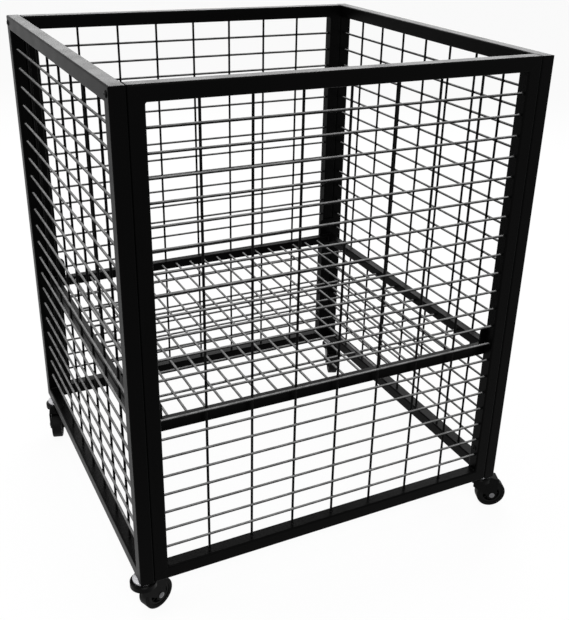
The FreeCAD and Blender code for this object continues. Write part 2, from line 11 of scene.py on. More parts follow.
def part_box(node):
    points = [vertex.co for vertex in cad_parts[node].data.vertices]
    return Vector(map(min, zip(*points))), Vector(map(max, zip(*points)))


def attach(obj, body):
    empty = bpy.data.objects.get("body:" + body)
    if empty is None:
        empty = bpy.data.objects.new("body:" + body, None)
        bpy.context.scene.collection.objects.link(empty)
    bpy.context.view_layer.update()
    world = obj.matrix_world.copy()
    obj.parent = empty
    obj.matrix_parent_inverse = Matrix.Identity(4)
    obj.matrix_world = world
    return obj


bl_info = {
    "name": "Mesh dump bin",
    "version": (1, 0, 0),
    "blender": (4, 5, 0),
    "location": "3D View > Sidebar > Dump bin",
    "description": "Finishes, welds and studio for a wire-mesh dump bin on castors",
    "category": "Object",
}

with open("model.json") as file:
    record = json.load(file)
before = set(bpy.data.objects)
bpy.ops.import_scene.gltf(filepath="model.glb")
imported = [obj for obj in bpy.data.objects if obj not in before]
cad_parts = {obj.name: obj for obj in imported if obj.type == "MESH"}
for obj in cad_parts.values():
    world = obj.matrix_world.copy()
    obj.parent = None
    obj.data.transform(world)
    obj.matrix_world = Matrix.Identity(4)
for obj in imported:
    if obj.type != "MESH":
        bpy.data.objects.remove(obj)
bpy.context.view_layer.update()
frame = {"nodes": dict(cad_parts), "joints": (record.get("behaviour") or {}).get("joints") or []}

CORNERS = ("front_left", "front_right", "back_left", "back_right")
X, Y, Z = Vector((1, 0, 0)), Vector((0, 1, 0)), Vector((0, 0, 1))

# What the boxes of the frame's pieces don't give, in metres. A mesh's openings are counted along
# and across its first wires.
WIRE_RADIUS = 0.00175
PANEL_OPENINGS = (22, 8)
SHELF_OPENINGS = (8, 20)
LUG_WIDTH = 0.028
LUG_THICKNESS = 0.003

# Width of the lumps and the grain of each finish, in metres
DUST_PATCH = 0.05
COAT_CLOUD = 0.03
ORANGE_PEEL = 0.0022
GRINDING_MARK = 0.0015
WIRE_PATCH = 0.012
WIRE_GRAIN = 0.0012
WELD_RIPPLE = 0.0014
DRAWN_PATCH = 0.006
DRAWN_GRAIN = 0.0008
ZINC_BLOOM = 0.002
ZINC_GRAIN = 0.0006
MOULDED_CLOUD = 0.008

# Their depth, in metres
WIRE_GRAIN_DEPTH = 0.00003
WELD_RIPPLE_DEPTH = 0.00008
DRAWN_GRAIN_DEPTH = 0.00002
ZINC_GRAIN_DEPTH = 0.00002

# The studio: where each softbox stands, what it is aimed at, and its width and height, in metres.
# The camera's sensor is in millimetres.
SOFTBOXES = {
    "back": ((1.15, 2.1, 1.75), (0, 0, 0.6), (2.6, 1.3)),
    "top": ((-0.3, -0.2, 2.6), (0, 0, 0.4), (1.6, 1.6)),
    "side": ((-2.4, 0.6, 1.2), (0, 0, 0.4), (1.4, 1.4)),
    "front": ((-0.6, -2.6, 2.4), (0, 0, 0.4), (1.6, 1.2)),
}
FLOOR_SIDE = 14
FLOOR_COLOUR = (0.8, 0.8, 0.8, 1)
WHITE = (1, 1, 1, 1)
SENSOR_WIDTH = 36


# Nodes of a finish


class Term:
    """A node's output that can be used in a sum, where it adds the Math nodes."""

    def __init__(self, tree, socket=None):
        self.tree = tree
        self.socket = socket

    def node(self, kind, settings, inputs, output=0):
        """Adds a node of any kind: its settings first, then the values or links of its sockets."""
        made = self.tree.nodes.new(kind)
        for name, value in settings.items():
            setattr(made, name, value)
        for name, value in inputs.items():
            if isinstance(value, Term):
                self.tree.links.new(value.socket, made.inputs[name])
            else:
                made.inputs[name].default_value = value
        return Term(self.tree, made.outputs[output])

    def math(self, operation, first, second=0.0):
        return self.node("ShaderNodeMath", {"operation": operation}, {0: first, 1: second})

    def __add__(self, other):
        return self.math("ADD", self, other)

    __radd__ = __add__

    def __sub__(self, other):
        return self.math("SUBTRACT", self, other)

    def __rsub__(self, other):
        return self.math("SUBTRACT", other, self)

    def __mul__(self, other):
        return self.math("MULTIPLY", self, other)

    __rmul__ = __mul__

    def __abs__(self):
        return self.math("ABSOLUTE", self)

    def at_most(self, other):
        return self.math("MINIMUM", self, other)

    def swing(self, reach):
        """Noise from 0 to 1 as a change that goes half of reach down and half of it up."""
        return (self - 0.5) * reach

    def place(self, axis):
        """Where the surface is along one axis of the bin, in metres."""
        place = self.node("ShaderNodeTexCoord", {}, {}, "Object")
        return self.node("ShaderNodeSeparateXYZ", {}, {"Vector": place}, axis)

    def facing(self, axis):
        """How far the surface faces along an axis, from -1 to 1."""
        normal = self.node("ShaderNodeTexCoord", {}, {}, "Normal")
        return self.node("ShaderNodeSeparateXYZ", {}, {"Vector": normal}, axis)

    def noise(self, size, detail=2.0, roughness=0.5):
        """Noise whose lumps are about this many metres across."""
        place = self.node("ShaderNodeTexCoord", {}, {}, "Object")
        inputs = {"Vector": place, "Scale": 1 / size, "Detail": detail, "Roughness": roughness}
        return self.node("ShaderNodeTexNoise", {}, inputs, "Fac")

    def band(self, low, high):
        """0 below low, 1 above high, and a smooth step between."""
        settings = {"interpolation_type": "SMOOTHSTEP"}
        inputs = {"Value": self, "From Min": low, "From Max": high}
        return self.node("ShaderNodeMapRange", settings, inputs, "Result")

    def blend(self, first, second):
        """One colour where this is 0 and the other where it is 1."""
        made = self.tree.nodes.new("ShaderNodeMix")
        made.data_type = "RGBA"
        share, low, high = made.inputs[0], made.inputs[6], made.inputs[7]
        self.tree.links.new(self.socket, share)
        low.default_value = (*first, 1)
        high.default_value = (*second, 1)
        return Term(self.tree, made.outputs[2])

    def bump(self, depth):
        """A normal raised by this height map, whose full range is this many metres deep."""
        return self.node("ShaderNodeBump", {}, {"Height": self, "Distance": depth}, "Normal")


def new_finish(name, constants):
    """A material with one Principled shader. Returns it with a function that links what varies."""
    material = bpy.data.materials.new(name)
    material.use_nodes = True
    tree = material.node_tree
    tree.nodes.clear()
    shader = tree.nodes.new("ShaderNodeBsdfPrincipled")
    output = tree.nodes.new("ShaderNodeOutputMaterial")
    tree.links.new(shader.outputs["BSDF"], output.inputs["Surface"])
    for socket, value in constants.items():
        shader.inputs[socket].default_value = value

    def link(socket, term):
        tree.links.new(term.socket, shader.inputs[socket])

    return material, Term(tree), link


def scaled(colour, factor):
    return tuple(channel * factor for channel in colour)


def background_rays(base):
    """1 on the rays that see the background, straight, mirrored or through glass."""
    straight = base.node("ShaderNodeLightPath", {}, {}, "Is Camera Ray")
    mirrored = base.node("ShaderNodeLightPath", {}, {}, "Is Glossy Ray")
    through = base.node("ShaderNodeLightPath", {}, {}, "Is Transmission Ray")
    return (straight + mirrored + through).at_most(1.0)


def from_panel_seams(base, axis):
    """How far the surface is from the mitres of an upright panel that runs along an axis."""
    low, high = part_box("front_left_stile")
    reach = -low.x
    from_side = reach - abs(base.place(axis))
    from_end = (base.place("Z") - low.z).at_most(high.z - base.place("Z"))
    return abs(from_side - from_end)


def from_shelf_seams(base):
    """How far the surface is from the mitres of the shelf."""
    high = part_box("shelf_right_rail")[1]
    from_side = high.x - abs(base.place("X"))
    from_end = high.y - abs(base.place("Y"))
    return abs(from_side - from_end)


def powder_coat(name, sizes, from_seams):
    """Black powder coat with orange peel, a little dust on top, and ground welds at the mitres."""
    material, base, link = new_finish(name, {"Specular IOR Level": sizes.coat_gloss})
    dust_and_highlight = base.facing("Z").band(0.7, 1.0) * base.noise(DUST_PATCH, 4.0).band(0.3, 0.8)
    cloud = base.noise(COAT_CLOUD, 3.0)
    ground = 1 - from_seams(base).band(sizes.seam_width * 0.3, sizes.seam_width)
    dusty = scaled(sizes.coat_colour, 2.5)
    link("Base Color", dust_and_highlight.blend(sizes.coat_colour, dusty))
    link("Roughness", sizes.coat_roughness + cloud.swing(0.12) + dust_and_highlight * 0.06 + ground * 0.08)
    peel = base.noise(ORANGE_PEEL, 3.0) * sizes.peel_depth
    grinding = ground * (base.noise(GRINDING_MARK, 2.0) * 0.5 + 0.5) * sizes.seam_depth
    link("Normal", (peel + grinding).bump(1.0))
    return material


def wire_coat(sizes):
    """The same coat on wire: thicker in places, and pale where it faces up, a painted highlight
    along the wires' upper sides.
    """
    material, base, link = new_finish("black_wire_coat", {"Specular IOR Level": sizes.wire_gloss})
    uneven = base.noise(WIRE_PATCH, 3.0)
    # Painted highlight: the wires' upper sides are coloured pale grey to stand in for the light
    # along their tops, patchy where the coat is uneven.
    dust_and_highlight = base.facing("Z").band(0.0, 0.9) * (0.6 + uneven.band(0.3, 0.7) * 0.4)
    link("Base Color", dust_and_highlight.blend(sizes.wire_colour, sizes.wire_top_highlight))
    link("Roughness", sizes.wire_roughness + uneven.swing(0.16))
    link("Normal", base.noise(WIRE_GRAIN, 2.0).bump(WIRE_GRAIN_DEPTH))
    return material


def coated_weld(sizes):
    """Weld metal under the coat, smoother and a little glossier than the tube."""
    material, base, link = new_finish("coated_weld", {"Specular IOR Level": sizes.weld_gloss})
    ripple = base.noise(WELD_RIPPLE, 3.0, 0.6)
    worn = scaled(sizes.coat_colour, 2.0)
    link("Base Color", ripple.band(0.3, 0.7).blend(sizes.coat_colour, worn))
    link("Roughness", sizes.weld_roughness + ripple.swing(0.2))
    link("Normal", ripple.bump(WELD_RIPPLE_DEPTH))
    return material


def castor_black(sizes):
    """Satin black over pressed steel, slightly drawn along the folds."""
    material, base, link = new_finish("castor_black", {"Specular IOR Level": sizes.castor_gloss})
    drawn = base.noise(DRAWN_PATCH, 4.0, 0.6)
    low, high = scaled(sizes.coat_colour, 0.8), scaled(sizes.coat_colour, 1.8)
    link("Base Color", drawn.band(0.3, 0.8).blend(low, high))
    link("Roughness", sizes.castor_roughness + drawn.swing(0.2))
    link("Normal", base.noise(DRAWN_GRAIN, 2.0).bump(DRAWN_GRAIN_DEPTH))
    return material


def zinc_plate(name, colour, roughness):
    """Zinc plate: bare metal with a cloudy passivated bloom, darker and duller."""
    material, base, link = new_finish(name, {"Metallic": 1.0})
    bloom = base.noise(ZINC_BLOOM, 4.0, 0.6).band(0.35, 0.75)
    link("Base Color", bloom.blend(colour, scaled(colour, 0.72)))
    link("Roughness", roughness + bloom * 0.16)
    link("Normal", base.noise(ZINC_GRAIN, 3.0).bump(ZINC_GRAIN_DEPTH))
    return material


def moulded_black(name, colour, gloss, roughness, grain):
    """Moulded black plastic or rubber with a fine sparked grain."""
    material, base, link = new_finish(name, {"Specular IOR Level": gloss})
    cloud = base.noise(MOULDED_CLOUD, 3.0)
    link("Base Color", cloud.band(0.3, 0.7).blend(colour, scaled(colour, 1.5)))
    link("Roughness", roughness + cloud.swing(0.12))
    link("Normal", base.noise(grain, 2.0).bump(grain * 0.05))
    return material


def wear(material, *nodes):
    """Puts a finish on pieces of the frame."""
    for name in nodes:
        piece = frame["nodes"][name]
        piece.data.materials.clear()
        piece.data.materials.append(material)


# Modelling


def start_piece():
    """Leaves nothing selected, in object mode, so that a new primitive is alone."""
    if bpy.context.object is not None and bpy.context.object.mode != "OBJECT":
        bpy.ops.object.mode_set(mode="OBJECT")
    bpy.ops.object.select_all(action="DESELECT")


def shape_piece():
    """Takes the new primitive into edit mode, with its place in its mesh and all of it selected."""
    bpy.ops.object.transform_apply(location=True, rotation=True, scale=True)
    bpy.ops.object.mode_set(mode="EDIT")
    bpy.ops.mesh.select_all(action="SELECT")
    return bpy.context.object


def cut_across(height):
    """In edit mode, cuts the whole piece at a height without parting it."""
    bpy.ops.mesh.select_all(action="SELECT")
    bpy.ops.mesh.bisect(plane_co=(0, 0, height), plane_no=(0, 0, 1))


def pick(test):
    """In edit mode, selects the vertices that pass a test on their place."""
    bpy.ops.mesh.select_all(action="DESELECT")
    bpy.ops.mesh.select_mode(type="VERT")
    mesh = bmesh.from_edit_mesh(bpy.context.object.data)
    for vertex in mesh.verts:
        vertex.select = test(vertex.co)
    mesh.select_flush(True)
    bmesh.update_edit_mesh(bpy.context.object.data)


def finish_piece():
    """Back to object mode, with the faces pointing out."""
    bpy.ops.mesh.select_all(action="SELECT")
    bpy.ops.mesh.normals_make_consistent(inside=False)
    bpy.ops.object.mode_set(mode="OBJECT")


def copies(patterns, name, material, body, smooth_below=40):
    """One piece made of copies of patterns, each with its list of matrices. The patterns go."""
    joined = bmesh.new()
    for pattern, matrices in patterns:
        for matrix in matrices:
            start = len(joined.verts)
            joined.from_mesh(pattern.data)
            joined.verts.ensure_lookup_table()
            bmesh.ops.transform(joined, matrix=matrix, verts=joined.verts[start:])
        bpy.data.objects.remove(pattern)
    mesh = bpy.data.meshes.new(name)
    joined.to_mesh(mesh)
    joined.free()
    piece = bpy.data.objects.new(name, mesh)
    bpy.context.scene.collection.objects.link(piece)
    mesh.materials.append(material)
    start_piece()
    piece.select_set(True)
    bpy.context.view_layer.objects.active = piece
    bpy.ops.object.shade_smooth_by_angle(angle=math.radians(smooth_below))
    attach(piece, body)
    return piece


def standing(place, up, ahead):
    """The matrix that puts a pattern at a place, with its Z along up and its X along ahead."""
    turn = Matrix((ahead, up.cross(ahead), up)).transposed()
    return Matrix.Translation(place) @ turn.to_4x4()


class Grid:
    """One wire mesh in its frame of tube.

    Its first wires lie along run and are spread out along spread. The others cross them on the side
    away from near.
    """

    def __init__(self, name, run, spread, near, openings, tube):
        low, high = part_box(f"{name}_mesh")
        self.name, self.run, self.spread, self.near = name, run, spread, near
        self.ends = low.dot(run), high.dot(run)
        self.sides = low.dot(spread), high.dot(spread)
        self.middle = (low + high).dot(near) / 2
        self.offset = abs((high - low).dot(near)) / 2 - WIRE_RADIUS
        self.rungs = self.divide(self.ends, openings[0])
        self.columns = self.divide(self.sides, openings[1])
        rail_low, rail_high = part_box(tube)
        self.tube = abs((rail_high - rail_low).dot(near))

    @staticmethod
    def divide(limits, openings):
        """Where the wires between this many equal openings are."""
        low, high = limits
        return [low + (high - low) * step / openings for step in range(1, openings)]

    def at(self, along, across, depth=0.0):
        """A place on the mesh, this far from its middle towards near."""
        return self.run * along + self.spread * across + self.near * (self.middle + depth)

    def wire_ends(self):
        """Where every wire meets the tubes, and the way that it sets out from there."""
        for across in self.columns:
            yield self.at(self.ends[0], across, self.offset), self.run, self.near
            yield self.at(self.ends[1], across, self.offset), -self.run, self.near
        for along in self.rungs:
            yield self.at(along, self.sides[0], -self.offset), self.spread, self.near
            yield self.at(along, self.sides[1], -self.offset), -self.spread, self.near

    def crossings(self):
        """Where two wires cross."""
        for along in self.rungs:
            for across in self.columns:
                yield self.at(along, across)

    def corners(self, outward):
        """The inside corners of the frame, moved this far out along both tubes."""
        for end, end_sign in zip(self.ends, (-1, 1)):
            for side, side_sign in zip(self.sides, (-1, 1)):
                yield self.at(end + end_sign * outward, side + side_sign * outward)


GRIDS = (
    Grid("front", Z, X, Y, PANEL_OPENINGS, "front_top_rail"),
    Grid("right", Z, Y, -X, PANEL_OPENINGS, "right_top_rail"),
    Grid("back", Z, X, -Y, PANEL_OPENINGS, "back_top_rail"),
    Grid("left", Z, Y, X, PANEL_OPENINGS, "left_top_rail"),
    Grid("shelf", Y, X, Z, SHELF_OPENINGS, "shelf_front_rail"),
)


def make_bead(length, radius, ripples):
    """A weld bead along Z about the origin: a stack of ripples that tapers off at both ends."""
    crest, valley, tip = 1.06, 0.9, 0.6
    start_piece()
    bpy.ops.mesh.primitive_cylinder_add(
        vertices=12, radius=radius, depth=length, end_fill_type="TRIFAN"
    )
    bead = shape_piece()
    step = length / (2 * ripples)
    for index in range(1, 2 * ripples):
        height = index * step - length / 2
        cut_across(height)
        swell = crest if index % 2 else valley
        pick(lambda place: abs(place.z - height) < step / 4)
        bpy.ops.transform.resize(value=(swell, swell, 1))
    pick(lambda place: abs(place.z) > length / 2 - step / 4)
    bpy.ops.transform.resize(value=(tip, tip, 1))
    finish_piece()
    return bead


def make_collar(spread, height):
    """The weld where a wire meets a tube: a hollow-sided collar that stands on the XY plane."""
    overlap = 1.02
    waist, hollow = height * 0.4, 0.84
    start_piece()
    bpy.ops.mesh.primitive_cone_add(
        vertices=8,
        radius1=WIRE_RADIUS + spread,
        radius2=WIRE_RADIUS * overlap,
        depth=height,
        end_fill_type="NGON",
        location=(0, 0, height / 2),
    )
    collar = shape_piece()
    cut_across(waist)
    pick(lambda place: abs(place.z - waist) < height / 10)
    bpy.ops.transform.resize(value=(hollow, hollow, 1))
    finish_piece()
    return collar


def make_fillet(radius, depth):
    """The weld between two crossing wires: a flat lens about the origin."""
    rim = 0.6
    start_piece()
    bpy.ops.mesh.primitive_cylinder_add(
        vertices=8, radius=radius, depth=depth, end_fill_type="NGON"
    )
    fillet = shape_piece()
    cut_across(0)
    pick(lambda place: abs(place.z) > depth / 4)
    bpy.ops.transform.resize(value=(rim, rim, 1))
    finish_piece()
    return fillet


def make_rib(inside, outside, width, foot, top):
    """One rib of a wheel along X, with draft on its sides, from the web's face up."""
    draft, rounding = 0.65, width * 0.12
    middle = (foot + top) / 2
    start_piece()
    bpy.ops.mesh.primitive_cube_add(size=1, location=((inside + outside) / 2, 0, middle))
    bpy.context.object.scale = (outside - inside, width, top - foot)
    rib = shape_piece()
    pick(lambda place: place.z > middle)
    bpy.ops.transform.resize(value=(1, draft, 1))
    bpy.ops.mesh.select_all(action="SELECT")
    bpy.ops.mesh.bevel(offset=rounding, segments=2, affect="EDGES")
    finish_piece()
    return rib


def make_ring(radius, thickness, height):
    """A thin moulded ring around Z, whose crown is flattened."""
    crown, flatness = height + thickness * 0.6, 0.3
    start_piece()
    bpy.ops.mesh.primitive_torus_add(
        major_radius=radius,
        minor_radius=thickness,
        major_segments=72,
        minor_segments=8,
        location=(0, 0, height),
    )
    ring = shape_piece()
    pick(lambda place: place.z > crown)
    bpy.ops.transform.resize(value=(1, 1, flatness))
    finish_piece()
    return ring


def lug_feet(sink):
    """The middle of each lug's foot, on the side away from its stile."""
    low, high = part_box("shelf_lugs")
    across = high.x - LUG_WIDTH / 2
    inward = high.y - LUG_THICKNESS + sink
    for side in (-1, 1):
        for end in (-1, 1):
            yield Vector((side * across, end * inward, low.z - sink))


def tyre_width(corner, axle):
    """How far a tyre reaches along its axle, from side to side."""
    tyre = frame["nodes"][f"{corner}_castor_tyre"]
    places = [vertex.co.dot(axle) for vertex in tyre.data.vertices]
    return max(places) - min(places)


# Properties


class FinishSizes(bpy.types.PropertyGroup):
    """Colours and surfaces of the bin."""

    coat_colour: bpy.props.FloatVectorProperty(
        name="Coat colour",
        description="Colour of the powder coat",
        subtype="COLOR",
        default=(0.0008, 0.0008, 0.0008),
        min=0,
        max=1,
    )
    coat_gloss: bpy.props.FloatProperty(
        name="Coat gloss", description="Strength of the coat's shine", default=0.026, min=0, max=1
    )
    coat_roughness: bpy.props.FloatProperty(
        name="Coat roughness", description="Blur of the coat's shine", default=0.34, min=0, max=1
    )
    peel_depth: bpy.props.FloatProperty(
        name="Orange peel",
        description="Depth of the coat's orange peel",
        unit="LENGTH",
        default=0.00004,
        min=0,
    )
    seam_width: bpy.props.FloatProperty(
        name="Seam width",
        description="Half width of the ground mitre welds",
        unit="LENGTH",
        default=0.0025,
        min=0,
    )
    seam_depth: bpy.props.FloatProperty(
        name="Seam depth",
        description="Rise of the ground mitre welds",
        unit="LENGTH",
        default=0.0001,
        min=0,
    )
    weld_gloss: bpy.props.FloatProperty(
        name="Weld gloss", description="Strength of the welds' shine", default=0.039, min=0, max=1
    )
    weld_roughness: bpy.props.FloatProperty(
        name="Weld roughness", description="Blur of the welds' shine", default=0.26, min=0, max=1
    )
    wire_colour: bpy.props.FloatVectorProperty(
        name="Wire colour",
        description="Colour of the coat on the wires",
        subtype="COLOR",
        default=(0.002, 0.002, 0.002),
        min=0,
        max=1,
    )
    # Colour of the painted highlight along the wires' upper sides, standing in for the light that
    # falls on them.
    wire_top_highlight: bpy.props.FloatVectorProperty(
        name="Painted highlight on wires",
        description="Colour of the wires' upper sides",
        subtype="COLOR",
        default=(0.22, 0.22, 0.22),
        min=0,
        max=1,
    )
    wire_gloss: bpy.props.FloatProperty(
        name="Wire gloss", description="Strength of the wires' shine", default=0.03, min=0, max=1
    )
    wire_roughness: bpy.props.FloatProperty(
        name="Wire roughness", description="Blur of the wires' shine", default=0.6, min=0, max=1
    )
    castor_gloss: bpy.props.FloatProperty(
        name="Castor gloss",
        description="Strength of the shine of the forks and the bolts",
        default=0.04,
        min=0,
        max=1,
    )
    castor_roughness: bpy.props.FloatProperty(
        name="Castor roughness", description="Blur of that shine", default=0.34, min=0, max=1
    )
    zinc_colour: bpy.props.FloatVectorProperty(
        name="Zinc colour",
        description="Colour of the zinc plate on the castors' stems and the nuts",
        subtype="COLOR",
        default=(0.62, 0.62, 0.64),
        min=0,
        max=1,
    )
    axle_colour: bpy.props.FloatVectorProperty(
        name="Axle colour",
        description="Colour of the duller plate on the axles",
        subtype="COLOR",
        default=(0.13, 0.13, 0.135),
        min=0,
        max=1,
    )
    zinc_roughness: bpy.props.FloatProperty(
        name="Zinc roughness", description="Blur of the plate's shine", default=0.24, min=0, max=1
    )
    moulded_gloss: bpy.props.FloatProperty(
        name="Wheel gloss", description="Strength of the wheels' shine", default=0.05, min=0, max=1
    )
    core_colour: bpy.props.FloatVectorProperty(
        name="Core colour",
        description="Colour of the plastic of the wheels' cores",
        subtype="COLOR",
        default=(0.0022, 0.0022, 0.0022),
        min=0,
        max=1,
    )
    core_roughness: bpy.props.FloatProperty(
        name="Core roughness", description="Blur of the cores' shine", default=0.38, min=0, max=1
    )
    core_grain: bpy.props.FloatProperty(
        name="Core grain",
        description="Size of the grain of the cores",
        unit="LENGTH",
        default=0.0009,
        min=0.0001,
    )
    tyre_colour: bpy.props.FloatVectorProperty(
        name="Tyre colour",
        description="Colour of the tyres' rubber",
        subtype="COLOR",
        default=(0.0018, 0.0018, 0.0018),
        min=0,
        max=1,
    )
    tyre_roughness: bpy.props.FloatProperty(
        name="Tyre roughness", description="Blur of the tyres' shine", default=0.5, min=0, max=1
    )
    tyre_grain: bpy.props.FloatProperty(
        name="Tyre grain",
        description="Size of the grain of the tyres",
        unit="LENGTH",
        default=0.0006,
        min=0.0001,
    )


class WeldSizes(bpy.types.PropertyGroup):
    """Welds of the panels and the shelf."""

    bead_radius: bpy.props.FloatProperty(
        name="Bead radius",
        description="Radius of the corner welds",
        unit="LENGTH",
        default=0.003,
        min=0,
    )
    lug_bead: bpy.props.FloatProperty(
        name="Lug bead",
        description="Share of that radius in the welds of the lugs",
        default=0.8,
        min=0,
        max=1,
    )
    bead_sink: bpy.props.FloatProperty(
        name="Bead sink",
        description="How far a corner weld's middle lies inside the tubes",
        unit="LENGTH",
        default=0.001,
        min=0,
    )
    bead_length: bpy.props.FloatProperty(
        name="Bead length",
        description="A bead's share of the tube's side or the lug's width",
        default=0.74,
        min=0,
        max=1,
    )
    ripple_length: bpy.props.FloatProperty(
        name="Ripple",
        description="Length of one ripple of a bead",
        unit="LENGTH",
        default=0.0015,
        min=0.0005,
    )
    collar_spread: bpy.props.FloatProperty(
        name="Collar spread",
        description="How far the weld at a wire's end stands out from the wire",
        unit="LENGTH",
        default=0.0012,
        min=0,
    )
    collar_height: bpy.props.FloatProperty(
        name="Collar height",
        description="Height of the weld at a wire's end",
        unit="LENGTH",
        default=0.0018,
        min=0,
    )
    fillet_radius: bpy.props.FloatProperty(
        name="Fillet radius",
        description="Radius of the weld where wires cross",
        unit="LENGTH",
        default=0.0023,
        min=0,
    )
    fillet_depth: bpy.props.FloatProperty(
        name="Fillet depth",
        description="Thickness of that weld",
        unit="LENGTH",
        default=0.0021,
        min=0,
    )


class WheelSizes(bpy.types.PropertyGroup):
    """Moulded detail of the wheels."""

    rib_count: bpy.props.IntProperty(
        name="Ribs", description="Ribs on each side of a wheel", default=10, min=3, max=40
    )
    rib_width: bpy.props.FloatProperty(
        name="Rib width",
        description="Width of a rib at its foot",
        unit="LENGTH",
        default=0.0016,
        min=0,
    )
    rib_inside: bpy.props.FloatProperty(
        name="Rib inside",
        description="Inner end of a rib, in the hub",
        unit="LENGTH",
        default=0.0066,
        min=0,
    )
    rib_outside: bpy.props.FloatProperty(
        name="Rib outside",
        description="Outer end of a rib, in the rim",
        unit="LENGTH",
        default=0.0144,
        min=0,
    )
    rib_foot: bpy.props.FloatProperty(
        name="Rib foot",
        description="Foot of a rib from the wheel's middle",
        unit="LENGTH",
        default=0.0028,
        min=0,
    )
    rib_top: bpy.props.FloatProperty(
        name="Rib top",
        description="Top of a rib from the wheel's middle",
        unit="LENGTH",
        default=0.0063,
        min=0,
    )
    ring_radius: bpy.props.FloatProperty(
        name="Ring radius",
        description="Radius of the ring on a tyre's side",
        unit="LENGTH",
        default=0.0202,
        min=0,
    )
    ring_thickness: bpy.props.FloatProperty(
        name="Ring thickness",
        description="Rise of that ring",
        unit="LENGTH",
        default=0.0004,
        min=0,
    )


class StageSizes(bpy.types.PropertyGroup):
    """Camera, lamps and floor."""

    camera_place: bpy.props.FloatVectorProperty(
        name="Camera place",
        description="Where the camera stands",
        subtype="TRANSLATION",
        unit="LENGTH",
        default=(-0.54626, -1.19589, 0.93619),
    )
    camera_heading: bpy.props.FloatProperty(
        name="Heading",
        description="Turn of the camera to the right of straight ahead",
        subtype="ANGLE",
        unit="ROTATION",
        default=math.radians(27.747),
    )
    camera_tilt: bpy.props.FloatProperty(
        name="Tilt",
        description="Angle of the camera above the horizon",
        subtype="ANGLE",
        unit="ROTATION",
        default=math.radians(-25.609),
    )
    camera_roll: bpy.props.FloatProperty(
        name="Roll",
        description="Roll of the camera about its line of sight",
        subtype="ANGLE",
        unit="ROTATION",
        default=math.radians(1.736),
    )
    camera_lens: bpy.props.FloatProperty(
        name="Lens", description="Focal length in millimetres", default=51.602, min=1, max=500
    )
    camera_shift: bpy.props.FloatVectorProperty(
        name="Shift",
        description="Shift of the picture, in its longer side",
        size=2,
        default=(-0.029147, -0.000045),
    )
    room_light: bpy.props.FloatProperty(
        name="Room light",
        description="Strength of the even light of the room",
        default=0.5,
        min=0,
        max=5,
    )
    back_lamp: bpy.props.FloatProperty(
        name="Back lamp",
        description="Power of the softbox behind the bin",
        subtype="POWER",
        default=54,
        min=0,
    )
    top_lamp: bpy.props.FloatProperty(
        name="Top lamp",
        description="Power of the softbox over the bin",
        subtype="POWER",
        default=20,
        min=0,
    )
    side_lamp: bpy.props.FloatProperty(
        name="Side lamp",
        description="Power of the softbox to the left",
        subtype="POWER",
        default=20,
        min=0,
    )
    front_lamp: bpy.props.FloatProperty(
        name="Front lamp",
        description="Power of the softbox in front",
        subtype="POWER",
        default=60,
        min=0,
    )
    floor_glow: bpy.props.FloatProperty(
        name="Floor glow",
        description="How far the floor is lost in the white background",
        default=0.92,
        min=0,
        max=1,
    )


# Operators


class BIN_OT_coat_tubes(bpy.types.Operator):
    """Powder coats the tubes and the shelf's lugs"""

    bl_idname = "bin.coat_tubes"
    bl_label = "Coat the tubes"

    def execute(self, context):
        sizes = context.scene.bin_finish
        across = powder_coat("powder_coat_front", sizes, lambda base: from_panel_seams(base, "X"))
        along = powder_coat("powder_coat_side", sizes, lambda base: from_panel_seams(base, "Y"))
        level = powder_coat("powder_coat_shelf", sizes, from_shelf_seams)
        coats = {"front": across, "back": across, "left": along, "right": along, "shelf": level}
        for name in frame["nodes"]:
            if name.endswith(("_rail", "_stile")):
                wear(coats[name.split("_")[0]], name)
        wear(across, "shelf_lugs")
        return {"FINISHED"}


class BIN_OT_coat_wires(bpy.types.Operator):
    """Powder coats the wire meshes"""

    bl_idname = "bin.coat_wires"
    bl_label = "Coat the wires"

    def execute(self, context):
        wear(wire_coat(context.scene.bin_finish), *(f"{grid.name}_mesh" for grid in GRIDS))
        return {"FINISHED"}


class BIN_OT_finish_fixings(bpy.types.Operator):
    """Finishes the bolts and the nuts inside the tubes"""

    bl_idname = "bin.finish_fixings"
    bl_label = "Finish the bolts and nuts"

    def execute(self, context):
        sizes = context.scene.bin_finish
        wear(castor_black(sizes), "panel_bolts", "shelf_bolts")
        zinc = zinc_plate("nut_zinc", sizes.zinc_colour, sizes.zinc_roughness)
        wear(zinc, "panel_nuts", "shelf_nuts", "castor_nuts")
        return {"FINISHED"}


